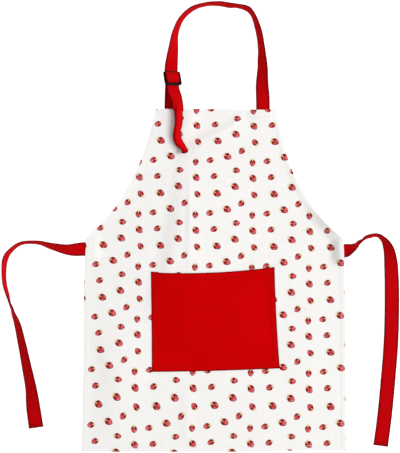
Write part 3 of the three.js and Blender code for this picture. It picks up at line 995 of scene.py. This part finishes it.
def tape_seams(name, tops, unders, finish, hem_end):
    """Rows of stitches near both edges of a tape, on both its faces, and across its hem."""
    first_column = next(i for i, (d, _) in enumerate(TAPE_SECTION) if d == TAPE_SEAM)
    middle_column = len(TAPE_SECTION) - 1
    seam_columns = (first_column, 2 * middle_column - first_column)
    long_rows = range(BARE_ROWS, len(tops) - BARE_ROWS)
    lines = [[(row, column) for row in long_rows] for column in seam_columns]
    if hem_end:
        back = next(i for i, row in enumerate(tops) if i > len(tops) - HEM_ROWS
                    and (row[HEM_COLUMN] - tops[-1][HEM_COLUMN]).length < TAPE_HEM - HEM_INSET)
        lines.append([(back, column) for column in range(BARE_COLUMNS, len(tops[back]) - BARE_COLUMNS)])

    def sewn_at(rows, sign, row, column):
        up = (tops[row][column] - unders[row][column]).normalized() * sign
        return rows[row][column] + up * STITCH_PROUD, up

    sides = ((tops, 1), (unders, -1))
    return seam(name, [[sewn_at(*side, *at) for at in line] for side in sides for line in lines], finish)


def held_between(*spans):
    """1 along a tape, and 0 in the spans where it is held."""
    def calm(place):
        free = 1.0
        for first, last in spans:
            gap = max(first - place, place - last, 0.0)
            free = min(free, ease(0, HELD_FADE, gap))
        return free
    return calm


def even_spread(place):
    return 1.0, 0.0


def finish_tape(name, route, finishes, held, spread=even_spread, turn=no_turn, hem_side=0, cup=0.0, seed=0.0):
    frames = Frames(route)
    calm = held_between(*held)
    made, tops, unders = tape(name, frames, finishes["red_tape"], calm, spread, turn, hem_side, cup, seed)
    sewn = tape_seams(name + "_seams", tops, unders, finishes["red_thread"], hem_side != 0)
    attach(made, "root")
    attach(sewn, "root")
    return made, sewn, frames


def waist_tie(side, route, finishes, cup, seed):
    name = "waist_tie_" + side

    def spread_past_root(place):
        return between(1, TIE_SPREAD, ease(*TIE_ROOT, place)), 0.0

    made, sewn, frames = finish_tape(
        name + "_tape", route_frames(route), finishes, [TIE_HELD], spread_past_root,
        hem_side=-1, cup=cup, seed=seed,
    )
    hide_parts(name)
    [p * MM for p in frames.middle]


def neck_strap(finishes, panel):
    level = math.pi - SLIDE_PITCH
    first_bar = thread_frames([(BAR_PITCH, FIRST_TURN)], level, PUFF_RISE)
    last_bar = thread_frames([(-BAR_PITCH, FIRST_TURN)], 2 * math.pi - PUFF_RISE, level)
    way, ends = [], []
    for stretch in (route_frames(NECK_ROUTE), first_bar, patch_frames(), last_bar, route_frames(TAIL_ROUTE)):
        way += stretch
        ends.append(Frames(way).length)
    into, patch_start, patch_end, out, long = ends
    patch_middle = (patch_start + patch_end) / 2
    tail_turn = smooth_through([share for share, _ in TAIL_TURN], [(turn,) for _, turn in TAIL_TURN])

    def spread_in_slots(place):
        slots = window(place, into - 3, into + 4, out - 4, out + 3)
        off = abs(place - patch_middle)
        share = between(1, SLOT_SPREAD, slots) + PATCH_SPREAD * (1 - ease(4, 9, off))
        return share, PATCH_SHIFT * (1 - ease(5, 10, off))

    def turn_of_tail(place):
        return math.radians(max(tail_turn((place - out) / (long - out))[0], 0))

    held = [STRAP_HELD, (into - HELD_BEFORE_SLIDE, out + HELD_PAST_SLIDE)]
    made, sewn, frames = finish_tape(
        "neck_strap_tape", way, finishes, held, spread_in_slots, turn_of_tail, hem_side=1, seed=2.0,
    )
    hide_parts("neck_strap")


def buckle_loop(finishes):
    thread = thread_frames(
        [(0, -FIRST_TURN), (-BAR_PITCH, SECOND_TURN)], LOOP_RISE - SLIDE_PITCH, math.pi - SLIDE_PITCH,
    )

    def flat_run(height):
        levels = [BIB_TOP - TAB_DEPTH, BIB_TOP, BIB_TOP + TAB_DEPTH / 2]
        return [(Vector((LOOP_TAB_X, y, height)), Vector((1, 0, 0))) for y in levels]

    lower, upper = flat_run(TAPE_WALL / 2), flat_run(TAPE_WALL / 2 + LAYER)[::-1]
    made, sewn, frames = finish_tape(
        "buckle_loop_tape", lower + thread + upper, finishes, [(0, math.inf)], seed=4.0,
    )
    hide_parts("buckle_loop")


# Panel
armhole_edges = smooth_through([-y for y, _, _ in ARMHOLES], [(a, b) for _, a, b in ARMHOLES])
side_edges = smooth_through([-y for y, _, _ in SIDES], [(a, b) for _, a, b in SIDES])


def panel_edges(y):
    return armhole_edges(-y) if y > WAIST else side_edges(-y)


def edge_slants(y):
    """How much shorter a square step in from each edge is than a level one."""
    top, foot = min(y + EDGE_REACH, BIB_TOP), max(y - EDGE_REACH, HEM)
    run = top - foot
    return tuple(1 / math.hypot(1, (b - a) / run) for a, b in zip(panel_edges(foot), panel_edges(top)))


def panel_height(x, y):
    """Under side of the panel over the strap ends behind it."""
    lifts = []
    for end_x, end_y, half_x, half_y, lift, level, slope in HIDDEN_ENDS:
        off = math.hypot(max(abs(x - end_x) - half_x, 0), max(abs(y - end_y) - half_y, 0))
        slow = lift * (1 - ease(level, level + slope, off))
        lifts.append(slow + PRINT_THROUGH * (1 - ease(0.5, 5.5, off)))
    return max(lifts)


def outside_box(x, y, low, high):
    return math.hypot(max(low[0] - x, x - high[0], 0), max(low[1] - y, y - high[1], 0))


def panel_waves(x, y):
    """Slack of the cloth, which is gone under the pocket and the strap's tail."""
    swell = 0.32 * (1 + noise.noise(Vector((x / 62, y / 95, 3.1))))
    ripple = 0.10 * (1 + noise.noise(Vector((x / 22, y / 38, 8.7))))
    clear = ease(0, 22, outside_box(x, y, (-106, -241), (110, -66)))
    clear *= ease(0, 20, outside_box(x, y, (-82, 114), (-38, BIB_TOP)))
    return (swell + ripple) * clear


def near_way(x, y, way, left, right):
    """Share of the reach that a place is off a crest, and how full the crest is there."""
    long = sum(math.dist(a, b) for a, b in zip(way, way[1:]))
    nearest, run = None, 0.0
    for (ax, ay), (bx, by) in zip(way, way[1:]):
        leg = math.hypot(bx - ax, by - ay)
        ux, uy = (bx - ax) / leg, (by - ay) / leg
        along = min(max((x - ax) * ux + (y - ay) * uy, 0), leg)
        dx, dy = x - ax - along * ux, y - ay - along * uy
        off = math.hypot(dx, dy)
        if nearest is None or off < nearest[0]:
            nearest = (off, run + along, left if ux * dy - uy * dx > 0 else right)
        run += leg
    off, along, reach = nearest
    return min(off / reach, 1), math.sin(math.pi * min(max(along / long, 0), 1)) ** 0.7


def panel_folds(x, y):
    """Folds and creases, which the pocket follows too."""
    height = 0.0
    for way, left, right, rise in FOLDS:
        off, full = near_way(x, y, way, left, right)
        height += rise * full * math.cos(off * math.pi / 2) ** 2
    for way, left, right, rise in CREASES:
        off, full = near_way(x, y, way, left, right)
        height += rise * full * (1 - off) ** CREASE_EDGE
    return height


def panel_curl(y, from_left, from_right):
    """Rise of the edges: both armholes a little, the right one's foot more, and the right tie's corner."""
    side = min(from_left, from_right)
    curl = ARMHOLE_CURL * fading(side, ARMHOLE_REACH) ** 2 * window(y, *ARMHOLE_LEVELS)
    curl += LOW_CURL * fading(from_right, LOW_REACH) ** 1.6 * window(y, *LOW_LEVELS)
    return curl + TIE_CURL * (1 - ease(*TIE_REACH, from_right)) * window(y, *TIE_LEVELS)


def panel_lay(x, y):
    """Heights of the panel's top and under side, and how far the place is inside the hem, 0 at the rim and 1
    past the hem."""
    left, right = panel_edges(y)
    slant_left, slant_right = edge_slants(y)
    from_left, from_right = (x - left) * slant_left, (right - x) * slant_right
    side, top, foot = min(from_left, from_right), BIB_TOP - y, y - HEM
    rim = max(min(side, top, foot), 0.0)
    hem = min(side / SIDE_HEM, top / TOP_HEM, foot / FOOT_HEM)
    curl = panel_curl(y, from_left, from_right)
    base = panel_height(x, y) + panel_waves(x, y) + panel_folds(x, y) + curl
    run = y if side / SIDE_HEM < min(top / TOP_HEM, foot / FOOT_HEM) else x
    beat = math.sin(2 * math.pi * run / PUCKER_PITCH + 2.4 * noise.noise(Vector((run / 26, 1.7, 0))))
    pucker = PUCKER * hump(hem - 0.72, 0.3) * beat
    groove = HEM_GROOVE * hump(hem - HEM_SEAM, 0.05)
    high = between(HEM_TOP, CLOTH_TOP, ease(HEM_SEAM, 1.02, hem)) - groove + pucker
    low = between(HEM_UNDER, CLOTH_UNDER, ease(0.98, 1.03, hem)) + 0.3 * max(pucker, 0)
    middle = CLOTH_MIDDLE
    pinch = round_rim(rim, CLOTH_RIM)
    return base + middle + (high - middle) * pinch, base + middle - (middle - low) * pinch, hem


def cloth_map(x, y):
    """Place of a point on the flat cloth, along its grain, in metres. The cloth is spread over the skirt,
    pulled a little at its sides and bib, and taken up where it curls and hangs."""
    curled = ease(165, 200, x) * hump(y + 8, 22)
    spread = SKIRT_SPREAD * (x - SKIRT_MIDDLE) * ease(-165, -245, y)
    spread += SIDE_PULL * (1 - ease(-90, -20, x)) * hump(y + 40, 60)
    spread -= BIB_PULL * ease(-50, -10, x) * hump(y - 85, 55) + CORNER_PULL * curled
    drop = ease(-245, -335, y) * (FOOT_DROP + LEFT_FOOT_DROP * hump(x + 108.6, 57.8)) + CORNER_DROP * curled
    drop += TOP_DROP * ease(148, 180, y) - BIB_LIFT * hump(x, 45) * hump(y - 92, 45)
    u, v = x - spread, y + drop
    c, s = math.cos(GRAIN_TURN), math.sin(GRAIN_TURN)
    return ((u * c - v * s) * MM, (u * s + v * c) * MM)


def hang(x, y):
    """How far the panel hangs down at its foot, more at its left, and at the neck strap."""
    foot = between(*FOOT_HANG, ease(140, 40, x)) * ease(HEM + 70, HEM, y)
    return foot + STRAP_HANG * hump(x - 78, 22) * ease(BIB_TOP - 30, BIB_TOP, y)


def hem_steps(wide):
    return [*RIM_STEPS, *[share * wide for share in HEM_STEPS]]


def panel_row(y):
    left, right = panel_edges(y)
    slant_left, slant_right = edge_slants(y)
    steps = hem_steps(SIDE_HEM)
    first = [left + d / slant_left for d in steps]
    last = [right - d / slant_right for d in reversed(steps)]
    middle = evenly(first[-1], last[0], PANEL_COLUMNS)[1:-1]
    return first + middle + last


def body_panel(finishes):
    top = [BIB_TOP - d for d in hem_steps(TOP_HEM)]
    foot = [HEM + d for d in reversed(hem_steps(FOOT_HEM))]
    bib = evenly(top[-1], WAIST, round((top[-1] - WAIST) / PANEL_STEP))[1:]
    skirt = evenly(WAIST, foot[0], round((WAIST - foot[0]) / PANEL_STEP))[1:-1]
    rows = []
    for y in top + bib + skirt + foot:
        row = []
        for x in panel_row(y):
            high, low, hem = panel_lay(x, y)
            down = y - hang(x, y)
            row.append((Vector((x, down, high)), Vector((x, down, low)), cloth_map(x, down), hem))
        rows.append(row)
    tops, unders, maps, hems = grids(rows)

    def under_finish(i, j):
        return 0 if hems[i][j] < 1.0 else 1

    panel = two_skins("body_panel_cloth", tops, unders, maps,
                      [finishes["printed_cotton"], finishes["cotton_back"]], under_finish)
    area = 0.0
    for a, b in zip(tops, tops[1:]):
        area += (a[0].y - b[0].y) * ((a[-1].x - a[0].x) + (b[-1].x - b[0].x)) / 2
    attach(panel, "root")
    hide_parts("body_panel")
    return panel, area


def panel_seams(finishes):
    """Hem stitches all round the panel, on its face and on its back."""
    side, top, foot = SIDE_HEM * HEM_SEAM, TOP_HEM * HEM_SEAM, FOOT_HEM * HEM_SEAM
    lines = []
    for edge, inward in ((0, side), (1, -side)):
        levels = evenly(BIB_TOP - SEAM_INSET, HEM + SEAM_INSET, SIDE_SEAM_STEPS)
        lines.append([(panel_edges(y)[edge] + inward / edge_slants(y)[edge], y) for y in levels])
    for y in (BIB_TOP - top, HEM + foot):
        left, right = panel_edges(y)
        crossing = evenly(left + SEAM_INSET, right - SEAM_INSET, CROSS_SEAM_STEPS)
        lines.append([(x, y) for x in crossing])

    def sewn_at(sign, x, y):
        high, low, _ = panel_lay(x, y)
        height = high + SEAM_OVER if sign > 0 else low - SEAM_UNDER
        return Vector((x, y - hang(x, y), height)), UP * sign

    stitched = [[sewn_at(sign, *at) for at in line] for sign in (1, -1) for line in lines]
    sewn = seam("body_panel_seams", stitched, finishes["white_thread"])
    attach(sewn, "root")
    return sewn


# Pocket
def pocket_place(across, down):
    (lx, ly), (rx, ry), (blx, bly), (brx, bry) = POCKET_CORNERS
    left = Vector((between(lx, blx, down), between(ly, bly, down)))
    right = Vector((between(rx, brx, down), between(ry, bry, down)))
    bow = between(*SIDE_BOWS, across) * 4 * down * (1 - down)
    sag = between(MOUTH_SAG, FOOT_SAG, down) * 4 * across * (1 - across)
    tab = CORNER_TAB * (1 - ease(9, 16, across * POCKET_WIDE)) * (1 - ease(0, 0.12, down))
    return left.lerp(right, across) + Vector((bow, tab - sag))


def pocket_crown(across, down):
    def rise(share):
        return ease(POCKET_SEAM, POCKET_SEAM + POCKET_SLOPE, share)
    lip = between(MOUTH_LIP, 1, ease(0, 0.2, down))
    return POCKET_RISE * rise(across) * rise(1 - across) * rise(1 - down) * lip


def pocket_lay(across, down):
    """Point of the pocket's top, of its under side, and how much painted shade darkens its cloth there, at
    its rims and beside its seams.
    """
    place = pocket_place(across, down)
    side = min(across, 1 - across) * POCKET_WIDE
    mouth, foot = down * POCKET_HIGH, (1 - down) * POCKET_HIGH
    rim = min(side, mouth, foot)
    sewn = min(side, foot)
    edge = max(1 - ease(*SEWN_EDGE, sewn), 1 - ease(*MOUTH_EDGE, mouth))
    groove = sum(hump(sewn - d, GROOVE_REACH) for d in POCKET_SEAMS)
    groove += 0.8 * hump(mouth - MOUTH_SEAM, GROOVE_REACH)
    run = place.y if side < min(mouth, foot) else place.x
    beat = math.sin(2 * math.pi * run / POCKET_PITCH + 2 * noise.noise(Vector((run / 24, 4.4, 0))))
    pucker = POCKET_PUCKER * beat * hump(min(sewn, mouth) - 5, 4)
    slack = POCKET_SLACK * noise.noise(Vector((place.x / 55, place.y / 48, 6.3)))
    slack *= ease(8, 30, min(sewn, mouth + 12))
    high = between(POCKET_TOP, EDGE_TOP, edge) - POCKET_GROOVE * groove + pucker
    middle = POCKET_MIDDLE
    pinch = round_rim(rim, CLOTH_RIM)
    base = POCKET_FLOOR + pocket_crown(across, down) + slack + panel_folds(place.x, place.y)
    top = Vector((place.x, place.y, base + middle + (high - middle) * pinch))
    under = Vector((place.x, place.y, base + middle - (middle - POCKET_UNDER) * pinch))
    # Painted shade at the pocket's rims and just past its seams
    seam_painted_shade = (hump(sewn - 8.7, 0.8), hump(mouth - 9.9, 0.8))
    shade = max(1 - ease(0.2, 2.8, rim), *[SEAM_PAINTED_SHADE * dark for dark in seam_painted_shade])
    return top, under, shade


def pocket_steps(long, first_steps, last_steps):
    first = [d / long for d in first_steps]
    last = [1 - d / long for d in reversed(last_steps)]
    count = round((last[0] - first[-1]) * long / POCKET_STEP)
    return first + evenly(first[-1], last[0], count)[1:-1] + last


def pocket(finishes, panel):
    sewn_steps = [*RIM_STEPS, 1.6, POCKET_SEAMS[0], 2.8, 4.6, 6.4, 7.2, POCKET_SEAMS[1], 8.4, 9.0, 10.4]
    mouth_steps = [*RIM_STEPS, 2.4, 4.6, 6.6, 7.8, MOUTH_SEAM, 9.0, 9.7, 10.4, 12]
    columns = pocket_steps(POCKET_WIDE, sewn_steps, sewn_steps)
    levels = pocket_steps(POCKET_HIGH, mouth_steps, sewn_steps)
    tops, unders, rims = grids([pocket_lay(across, down) for across in columns] for down in levels)
    maps = [[(top.x * MM, top.y * MM) for top in row] for row in tops]
    made = two_skins("pocket_cloth", tops, unders, maps, [finishes["red_cotton"]], rims=rims)
    level, end = MOUTH_SEAM / POCKET_HIGH, 1 - SEAM_START
    paths = []
    for off in POCKET_SEAMS:
        share, foot = off / POCKET_WIDE, 1 - off / POCKET_HIGH
        path = [(share, down) for down in evenly(SEAM_START, foot, SEAM_DOWN_STEPS)]
        path += [(across, foot) for across in evenly(share, 1 - share, SEAM_ACROSS_STEPS)]
        path += [(1 - share, down) for down in evenly(foot, SEAM_START, SEAM_DOWN_STEPS)]
        paths.append(path)
    paths.append([(across, level) for across in evenly(SEAM_START, end, SEAM_ACROSS_STEPS)])
    lines = [[(pocket_lay(*at)[0] + UP * STITCH_PROUD, UP) for at in path] for path in paths]
    sewn = seam("pocket_seams", lines, finishes["red_thread"])
    for piece in (made, sewn):
        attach(piece, "root")
    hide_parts("pocket")


# Slide
def rounded_box(wide, long, corner, middle):
    points = []
    for turn, (sx, sy) in enumerate(((1, 1), (-1, 1), (-1, -1), (1, -1))):
        for k in range(CORNER_STEPS + 1):
            angle = math.pi / 2 * (turn + k / CORNER_STEPS)
            x = sx * (wide / 2 - corner) + corner * math.cos(angle)
            y = sy * (long / 2 - corner) + corner * math.sin(angle)
            points.append((x, middle + y))
    return points


def slide_buckle(finishes):
    """Moulded slide with three bars, its edges rounded."""
    slot = BAR_PITCH - SLIDE_BAR
    outlines = [(SLIDE_ACROSS, SLIDE_ALONG + SLIDE_FOOT, SLIDE_CORNER, -SLIDE_FOOT / 2, -1)]
    outlines += [(SLIDE_SLOT_ACROSS, slot, SLOT_CORNER, s * BAR_PITCH / 2, 1) for s in (1, -1)]
    quarter = [math.pi / 2 * k / BEVEL_STEPS for k in range(BEVEL_STEPS + 1)]
    flat = SLIDE_THICK / 2 - SLIDE_BEVEL
    profile = [(1 - math.sin(q), -flat - math.cos(q) * SLIDE_BEVEL) for q in quarter]
    profile += [(1 - math.cos(q), flat + math.sin(q) * SLIDE_BEVEL) for q in quarter]
    made = bmesh.new()
    caps = ([], [])
    for wide, long, corner, middle, grow in outlines:
        rings = []
        for share, z in profile:
            off = 2 * grow * share * SLIDE_BEVEL
            ring = rounded_box(wide + off, long + off, corner + off / 2, middle)
            rings.append([made.verts.new((x, y, z)) for x, y in ring])
        count = len(rings[0])
        for low, high in zip(rings, rings[1:]):
            for k in range(count):
                n = (k + 1) % count
                quad = [low[k], low[n], high[n], high[k]]
                made.faces.new(quad if grow < 0 else quad[::-1])
        for cap, ring in zip(caps, (rings[0], rings[-1])):
            cap += [made.edges.get((ring[k], ring[(k + 1) % count])) for k in range(count)]
    for cap in caps:
        bmesh.ops.triangle_fill(made, use_beauty=True, edges=cap)
    bmesh.ops.recalc_face_normals(made, faces=made.faces)
    place = Matrix.Translation(SLIDE_PLACE) @ slide_turn().to_4x4()
    bmesh.ops.transform(made, matrix=Matrix.Scale(MM, 4) @ place, verts=made.verts)
    mesh = bpy.data.meshes.new("slide_buckle_moulding")
    made.to_mesh(mesh)
    made.free()
    mesh.materials.append(finishes["black_plastic"])
    mesh.polygons.foreach_set("use_smooth", [True] * len(mesh.polygons))
    slide = put("slide_buckle_moulding", mesh)
    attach(slide, "root")
    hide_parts("slide_buckle")


def table_top(finishes):
    sides = ((-1, -1), (1, -1), (1, 1), (-1, 1))
    corners = [(x * TABLE_REACH, y * TABLE_REACH, TABLE_LEVEL) for x, y in sides]
    mesh_piece("table_top", corners, [[0, 1, 2, 3]], [finishes["table_top"]], smooth=False)


set_camera()
set_light()
FINISHES = make_finishes()
table_top(FINISHES)
waist_tie("left", LEFT_TIE_ROUTE, FINISHES, cup=2.6, seed=0.0)
waist_tie("right", RIGHT_TIE_ROUTE, FINISHES, cup=3.4, seed=1.0)
PANEL, PANEL_AREA = body_panel(FINISHES)
SEAMS = panel_seams(FINISHES)
pocket(FINISHES, PANEL)
slide_buckle(FINISHES)
neck_strap(FINISHES, PANEL)
buckle_loop(FINISHES)
